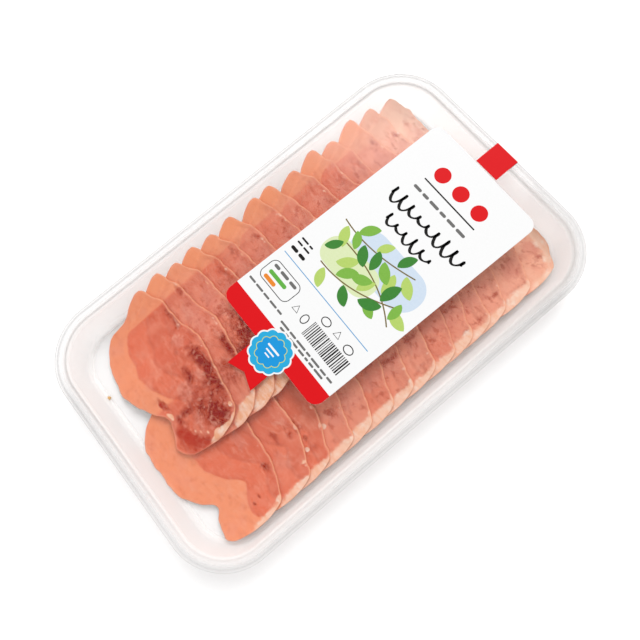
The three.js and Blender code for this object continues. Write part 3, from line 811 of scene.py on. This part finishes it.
# ---------------------------------------------------------------------------- label
# A self-adhesive label of coated white paper with rounded corners, stuck on the film and printed:
# a red foot band, leafy sprigs on pale washes, and plain dots, strokes, bars and signs.
label_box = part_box("label")
LABEL_SIZE = np.array([65.4, 126.2])
LABEL_CORNER = 5
LABEL_CENTRE = np.array([2.9, 33])
LABEL_TURN = np.radians(-1.1)
PAPER_BOTTOM = label_box[0].z / MM
PAPER_TOP = label_box[1].z / MM
INK = 0.012
INK_SUNK = 0.01
INK_STEP = 0.0008
PAPER_FIBRE = 0.9
PAPER_GAIN = 1.22
PAPER_SHEEN = 0.0095


def on_label(points):
    """Points of the label's own frame, turned and moved to the label's place on the film."""
    cos, sin = np.cos(LABEL_TURN), np.sin(LABEL_TURN)
    return np.asarray(points) @ np.array([(cos, sin), (-sin, cos)]) + LABEL_CENTRE


def rounded_box(size, radius, steps=8):
    """Anticlockwise outline of a box about the origin with a quarter circle at each corner."""
    centre, arcs = np.asarray(size) / 2 - radius, []
    for quarter, side in enumerate(np.array([(1, 1), (-1, 1), (-1, -1), (1, -1)])):
        angles = np.linspace(0, np.pi / 2, steps + 1) + quarter * np.pi / 2
        arcs.append(side * centre + radius * np.stack([np.cos(angles), np.sin(angles)], 1))
    return np.concatenate(arcs)


def plate(edge, bottom, top, soften=0.03):
    """A flat plate: its outline at the bottom, at the top, and once more a hair further in."""
    centre = edge.mean(0)
    inward = edge + (centre - edge) * soften / np.abs(edge - centre).max()
    return np.stack([at_height(edge, bottom), at_height(edge, top - soften), at_height(inward, top)])


def dimmed(hex_colour):
    """The linear colour of paper that shows as given under the tent, on the top of the pack."""
    shown = np.array(linear(hex_colour)[:3])
    return (*np.clip((shown - PAPER_SHEEN) / PAPER_GAIN, 0.002, 1), 1)


def coated_paper(name, colour, shade, roughness=0.5):
    """Coated paper or a print on it: an even colour with the faint cloud of paper fibres, and a
    soft shine that the fibres break up. Its colours are those that it shows in the tent."""
    material, tree, surface = new_material(name)
    fibres = cloudy_noise(tree, PAPER_FIBRE, 3)
    relief = add_node(tree, "ShaderNodeBump", {"Height": fibres},
                      {"Strength": 0.15, "Distance": 0.05 * MM})
    tone = two_tone(tree, fibres, dimmed(colour), dimmed(shade))
    sheet = add_node(tree, "ShaderNodeBsdfPrincipled", {"Base Color": tone, "Normal": relief.outputs[0]},
                     {"Roughness": roughness, "Specular IOR Level": 0.12})
    tree.links.new(sheet.outputs[0], surface)
    return material


white_paper = coated_paper("coated_white_paper", "#FFFFFF", "#FAFAFA")
red_print = coated_paper("red_print", "#E61A22", "#E21A22")
black_print = coated_paper("black_print", "#1B1A19", "#262423")
grey_print = coated_paper("grey_print", "#6F6E6D", "#7B7A79")
blue_line = coated_paper("blue_line_print", "#5FA3D6", "#6BAADA")

label_rings = plate(on_label(rounded_box(LABEL_SIZE, LABEL_CORNER)), PAPER_BOTTOM, PAPER_TOP)
make_skin("paper_label", label_rings, white_paper, False, node="label", slot="white_paper")


def stroke(path, widths, closed=False, cap=6):
    """The left and right edges of a band of ink along a path, as wide as given at each point; an
    open path gets a round cap of half the width there at each end."""
    path = np.asarray(path, float)
    half = np.broadcast_to(np.asarray(widths, float) / 2, len(path)).copy()
    way = np.roll(path, -1, 0) - np.roll(path, 1, 0) if closed else np.gradient(path, axis=0)
    way = way / np.linalg.norm(way, axis=1, keepdims=True)
    if not closed:
        angles = np.linspace(np.pi / 2, 0, cap, endpoint=False)[:, None]
        first = path[0] - way[0] * half[0] * np.sin(angles)
        last = path[-1] + way[-1] * half[-1] * np.sin(angles)
        taper = np.cos(angles[:, 0])
        path = np.concatenate([first, path, last[::-1]])
        half = np.concatenate([half[0] * taper + 0.01, half, (half[-1] * taper + 0.01)[::-1]])
        way = np.concatenate([np.repeat(way[:1], cap, 0), way, np.repeat(way[-1:], cap, 0)])
    side = np.stack([-way[:, 1], way[:, 0]], 1) * half[:, None]
    return path + side, path - side, closed


def print_on(name, strokes, material, level=0, slot="white_paper", placed=on_label, face=PAPER_TOP):
    """Makes one piece of several strokes in one ink: each stands a hair proud of the face that
    it is printed on, and a hair into it, and the next one by a still finer step more."""
    points, faces, count = [], [], 0
    low = face - INK_SUNK
    for order, (left, right, closed) in enumerate(strokes):
        left, right = placed(left), placed(right)
        high = face + (level + 1) * INK + order * INK_STEP
        rings = np.stack([at_height(left, low), at_height(left, high),
                          at_height(right, high), at_height(right, low)], 1)
        faces += [[k + count for k in face_ids] for face_ids in skin_rings(rings, closed)]
        points.append(rings.reshape(-1, 3))
        count += rings.shape[0] * 4
    return make_piece(name, np.concatenate(points), faces, material, False, slot=slot)


def line(start, end, width, steps=2):
    """A straight stroke."""
    share = np.linspace(0, 1, steps)[:, None]
    return stroke(np.array(start) + (np.array(end) - np.array(start)) * share, width)


def bar_row(left, right, v, height, seed, gap=0.9, longest=7, shortest=2):
    """Bars of uneven length in a row, from left to right, with a gap after each."""
    bars, at, k = [], left, 0
    while at < right - shortest:
        length = min(shortest + (longest - shortest) * scatter(seed + 0.61 * k), right - at)
        bars.append(line((at + height / 2, v), (at + length - height / 2, v), height))
        at += length + gap
        k += 1
    return bars


def flourish(left, right, v, turns, size, width, seed):
    """A brushed wave: the pen swings up and down, heavier on the way down, smaller to the end."""
    t = np.linspace(0, 1, 160)
    swing = 2 * np.pi * turns * t
    height = size * (0.75 + 0.35 * np.sin(3.1 * t * np.pi + seed)) * np.sin(swing)
    lean = 0.35 * size * np.cos(swing)
    path = np.stack([left + (right - left) * t + lean, v + height], 1)
    return stroke(path, width * (0.55 + 0.45 * np.sin(swing + 0.9) ** 2))


def disc(centre, radius, steps=24):
    """A round dot, as a band between its upper and its lower half circle."""
    angles = np.linspace(0.03, np.pi - 0.03, steps)
    upper = radius * np.stack([np.cos(angles), np.sin(angles)], 1)
    return np.asarray(centre) + upper * (1, -1), np.asarray(centre) + upper, False


BAND_HEIGHT = 8.6
half_label = LABEL_SIZE / 2


def foot_band():
    """The label's outline below the band's top edge: a straight top and rounded lower corners."""
    rise = np.append(LABEL_CORNER * (1 - np.cos(np.linspace(0, np.pi / 2, 9))), BAND_HEIGHT)
    drop = np.clip(LABEL_CORNER - rise, 0, None)
    reach = half_label[0] - LABEL_CORNER + np.sqrt(LABEL_CORNER ** 2 - drop ** 2) - 0.02
    v = rise - half_label[1] + 0.02
    return [(np.stack([-reach, v], 1), np.stack([reach, v], 1), False)]


print_on("print_foot_band", foot_band(), red_print)
print_on("print_blue_rule", [line((-30, -29.5), (28, -30), 0.4)], blue_line)
print_on("print_head_dots", [disc((u, 47.5), 3.9) for u in (-12, 0, 12)], red_print)
print_on("print_head_rule", [line((-16, 40.6), (16, 40.6), 0.7)], black_print)
print_on("print_small_line", bar_row(-17, 17, 35, 1.5, 3, 1.1, 6.5, 2.5), grey_print)
print_on("print_title", [flourish(-22, 26, 25.5, 8.5, 3.4, 1.5, 0.4),
                         flourish(-14, 16, 15.5, 5.5, 3.0, 1.4, 1.9)], black_print)
print_on("print_side_words",
         bar_row(-30, -21, -19.5, 0.9, 11, 0.8, 5) + bar_row(-30, -22, -22, 0.9, 17, 0.8, 5)
         + bar_row(-30, -21, -25.5, 1.6, 23, 0.9, 6, 3), black_print)
print_on("print_foot_words",
         bar_row(-31, -8, -48.6, 1.0, 31, 0.7, 5) + bar_row(-6, 29, -50.4, 1.0, 37, 0.7, 6)
         + bar_row(-4, 27, -52.4, 1.0, 43, 0.7, 6), grey_print)

# A plain outlined frame with two rows of bars in it, and small plain signs beside it.
SIGN_LINE = 0.45
FRAME_SIZE, FRAME_CENTRE, FRAME_LINE = (19, 10.6), (-20.5, -39.6), 0.35
signs = [stroke(rounded_box(FRAME_SIZE, 3) + FRAME_CENTRE, FRAME_LINE, True)]
for at_u, at_v, kind in ((-6, -42, 0), (0, -42, 1), (7, -35.5, 2), (14.5, -35.5, 0), (22.5, -36, 2)):
    angles = np.linspace(0, 2 * np.pi, 4 if kind == 0 else 33)[:-1] + np.pi / 2
    size = np.array([(2, 2), (1.6, 2.2), (2.4, 1.8)][kind])
    signs.append(stroke(np.stack([np.cos(angles), np.sin(angles)], 1) * size + (at_u, at_v), SIGN_LINE, True))
print_on("print_signs", signs, black_print)
print_on("print_frame_bars", bar_row(-28, -13, -36.6, 1.5, 51, 1, 7, 3), grey_print)
for name, end, v, colour, shade in (("green", -17, -40, "#63B446", "#6EBB52"),
                                    ("orange", -21, -43, "#F08A2C", "#F29440")):
    print_on("print_frame_" + name, [line((-26.5, v), (end, v), 1.9)],
             coated_paper("frame_" + name, colour, shade))


THINNEST, THICKER = 0.25, 0.55
CLOSEST, WIDER = 0.3, 0.5


def bar_field(left, right, low, high, seed):
    """Upright bars of uneven width and spacing."""
    bars, at, k = [], left, 0
    while at < right:
        width = THINNEST + THICKER * scatter(seed + 0.37 * k)
        path = np.array([(at + width / 2, low), (at + width / 2, high)])
        side = np.array([(width / 2, 0)])
        bars.append((path - side, path + side, False))
        at += width + CLOSEST + WIDER * scatter(seed + 0.71 * k + 5)
        k += 1
    return bars


print_on("print_bars", bar_field(4, 28, -47, -39, 7), black_print)

# Two leafy sprigs that cross, in three greens over washes of pale blue and pale green.
LEAF_SIZE = np.array([10, 4.8])
LEAF_PITCH = 5.8


def sprig(start, bow, end, seed):
    """A stem along the curve (1-t)^2 start + 2t(1-t) bow + t^2 end, and pointed leaves by turns on
    its left and right: each leaf is a bent band as wide as sin(pi * t)^0.7 of its full width."""
    start, bow, end = np.array(start), np.array(bow), np.array(end)
    t = np.linspace(0, 1, 40)[:, None]
    stem = (1 - t) ** 2 * start + 2 * t * (1 - t) * bow + t * t * end
    far = np.concatenate([[0], np.cumsum(np.linalg.norm(np.diff(stem, axis=0), axis=1))])
    leaves = []
    for k, at in enumerate(np.arange(3, far[-1] + 0.1, LEAF_PITCH)):
        place = np.array([np.interp(at, far, stem[:, axis]) for axis in (0, 1)])
        ahead = np.array([np.interp(at + 1, far, stem[:, axis]) for axis in (0, 1)]) - place
        side = 1 if k % 2 else -1
        angle = np.arctan2(ahead[1], ahead[0]) + side * (0.75 + 0.3 * scatter(seed + k))
        length, width = LEAF_SIZE * (0.85 + 0.3 * scatter(seed + 0.7 * k + 3))
        share = np.linspace(0, 1, 15)
        bent = angle - side * 0.5 * (share - 0.5)
        way = np.stack([np.cos(bent), np.sin(bent)], 1) * length / 14
        path = place + np.cumsum(way, axis=0)
        leaves.append(stroke(path, np.maximum(width * np.sin(np.pi * share) ** 0.7, 0.06), cap=2))
    return stroke(stem, 0.6), leaves


washes = [("pale_blue_wash", "#CFE0F3", "#DCE9F6", (42, 20), (6, -1)),
          ("pale_green_wash", "#DDEBB4", "#E7F1C8", (32, 15), (-6, -12))]
for level, (name, colour, shade, size, centre) in enumerate(washes):
    wash_rings = plate(on_label(rounded_box(size, min(size) / 2 - 0.5, 16) + centre),
                       PAPER_TOP - INK_SUNK, PAPER_TOP + (0.5 + 0.3 * level) * INK, 0.004)
    make_skin("print_" + name, wash_rings, coated_paper(name, colour, shade), False,
              slot="white_paper")
stems, leaves = zip(sprig((-16, -20), (2, -21), (21, -9), 1), sprig((25, -17), (9, -5), (-17, -6), 9),
                    sprig((-24, 1), (-6, -2), (17, 6), 15))
leaves = sum(leaves, [])
print_on("print_stems", stems, coated_paper("brown_print", "#7A6A3A", "#86764A"), 1)
for k, (name, colour, shade) in enumerate((("light_green_print", "#B4D465", "#C3DC7C"),
                                           ("green_print", "#7DB746", "#8BC056"),
                                           ("dark_green_print", "#3E8436", "#4A8F42"))):
    print_on("print_leaves_" + name.split("_")[0], leaves[k::3], coated_paper(name, colour, shade), k + 2)


# ---------------------------------------------------------------------------- ribbon and seal
# A printed sticker at the foot of the label: a red swallow-tailed ribbon end and, over it, a
# round blue seal with a scalloped white rim.
seal_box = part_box("seal")
SEAL_CENTRE = np.array([(seal_box[0].x + seal_box[1].x) / 2, (seal_box[0].y + seal_box[1].y) / 2]) / MM
SEAL_RADIUS = 10
SEAL_LOBES = 12
SEAL_LOBE = 0.4
SEAL_BOTTOM, SEAL_TOP = seal_box[0].z / MM, seal_box[1].z / MM
ribbon_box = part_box("ribbon")
RIBBON_NOTCH = 3


def lobed(radius, lobes, depth, steps=360):
    """A circle of round lobes with a sharp valley between each two: its radius swells by the
    depth times 2 |sin(lobes * angle / 2)| - 1."""
    angles = np.linspace(0, 2 * np.pi, steps + 1)[:-1]
    reach = radius + depth * (2 * np.abs(np.sin(lobes * angles / 2)) - 1)
    return SEAL_CENTRE + np.stack([np.cos(angles), np.sin(angles)], 1) * reach[:, None]


low, high = np.array(ribbon_box[0]) / MM, np.array(ribbon_box[1]) / MM
ribbon_edge = np.array([(low[0], low[1]), ((low[0] + high[0]) / 2, low[1] + RIBBON_NOTCH), (high[0], low[1]),
                        (high[0], high[1]), (low[0], high[1])])
ribbon_rings = plate(ribbon_edge, low[2], high[2], 0.02)
make_skin("ribbon_tail", ribbon_rings, red_print, False, node="ribbon", slot="red_paper")
seal_face = SEAL_TOP - 3 * INK
seal_rings = plate(lobed(SEAL_RADIUS, SEAL_LOBES, SEAL_LOBE), SEAL_BOTTOM, seal_face)
make_skin("paper_seal", seal_rings, white_paper, False, node="seal", slot="blue_paper")

blue_print = coated_paper("blue_print", "#30AEE0", "#36B3E3")
deep_blue_print = coated_paper("deep_blue_print", "#229AE0", "#289FE4")
lime_print = coated_paper("lime_print", "#D9DC5A", "#E2E268")
for name, edge, rise, ink in (
        ("print_seal_blue", lobed(SEAL_RADIUS - 0.75, SEAL_LOBES, SEAL_LOBE), 1, blue_print),
        ("print_seal_middle", lobed(6.4, 10, 0.5), 1.6, deep_blue_print)):
    disc_rings = plate(edge, seal_face - INK_SUNK, seal_face + rise * INK, 0.003)
    make_skin(name, disc_rings, ink, False, slot="blue_paper")
print_on("print_seal_line", [stroke(lobed(6.6, 10, 0.5), 0.3, True)], lime_print, 1.2,
         "blue_paper", np.asarray, seal_face)
print_on("print_seal_bars",
         [line(SEAL_CENTRE + (-half, v), SEAL_CENTRE + (half, v), width)
          for half, v, width in ((3.2, 1.6, 0.9), (2.2, -0.4, 0.7), (1.2, -2.1, 0.6))],
         white_paper, 1.4, "blue_paper", np.asarray, seal_face)


# ---------------------------------------------------------------------------- strap
# A strip of the label's red paper, folded over the head end of the flange as a tamper seal and
# stuck down under it.
strap_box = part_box("strap")
strap_low, strap_high = np.array(strap_box[0]) / MM, np.array(strap_box[1]) / MM
STRAP_TUCK = 5
PAPER = PAPER_TOP - PAPER_BOTTOM
FOLD_RADIUS = 0.4
FOLD_STEPS = 7


def fold(offset):
    """The strap's path in Y and Z, set in from its outer face: along the film, round the fold,
    down past the flange's edge, round again and back under it."""
    outer, top, under = strap_high[1], strap_high[2], strap_low[2]
    turn = np.radians(np.linspace(90, 0, FOLD_STEPS))
    arc = (FOLD_RADIUS - offset) * np.stack([np.cos(turn), np.sin(turn)], 1)
    upper = arc + (outer - FOLD_RADIUS, top - FOLD_RADIUS)
    lower = arc[::-1] * (1, -1) + (outer - FOLD_RADIUS, under + FOLD_RADIUS)
    return np.concatenate([[(strap_low[1], top - offset)], upper, lower,
                           [(outer - STRAP_TUCK, under + offset)]])


loop = np.concatenate([fold(0), fold(PAPER)[::-1]])[::-1]
strap_rings = np.stack([np.insert(loop, 0, x, axis=1) for x in (strap_low[0], strap_high[0])])
make_skin("red_strap", strap_rings, red_print, False, node="strap", slot="red_paper")


# ---------------------------------------------------------------------------- crumb
# One small crumb of yellowed fat, shaken loose from the slices, lies on the tray's floor.
CRUMB_PLACE = np.array([-31.1, -99.7])
CRUMB_RADIUS = 0.7
CRUMB_LONG, CRUMB_LOW = 1.3, 0.8
CRUST_GRAIN = 0.4

polar = np.linspace(np.pi, 0, 9)[1:-1, None]
round_about = np.linspace(0, 2 * np.pi, 15)[:-1][None, :]
swell = CRUMB_RADIUS * (1 + 0.18 * np.sin(3 * round_about + 2 * polar) + 0.1 * np.sin(5 * round_about))
crumb_rings = np.stack([CRUMB_PLACE[0] + CRUMB_LONG * swell * np.sin(polar) * np.cos(round_about),
                        CRUMB_PLACE[1] + swell * np.sin(polar) * np.sin(round_about),
                        SHEET + CRUMB_RADIUS + swell * np.cos(polar) * CRUMB_LOW], -1)
cured_fat, tree, surface = new_material("yellowed_fat")
tone = two_tone(tree, cloudy_noise(tree, CRUST_GRAIN, 2), linear("#E9C078"), linear("#C98A45"))
waxy = add_node(tree, "ShaderNodeBsdfPrincipled", {"Base Color": tone}, {"Roughness": 0.45})
tree.links.new(waxy.outputs[0], surface)
make_skin("fat_crumb", crumb_rings, cured_fat, slot="cured_ham")
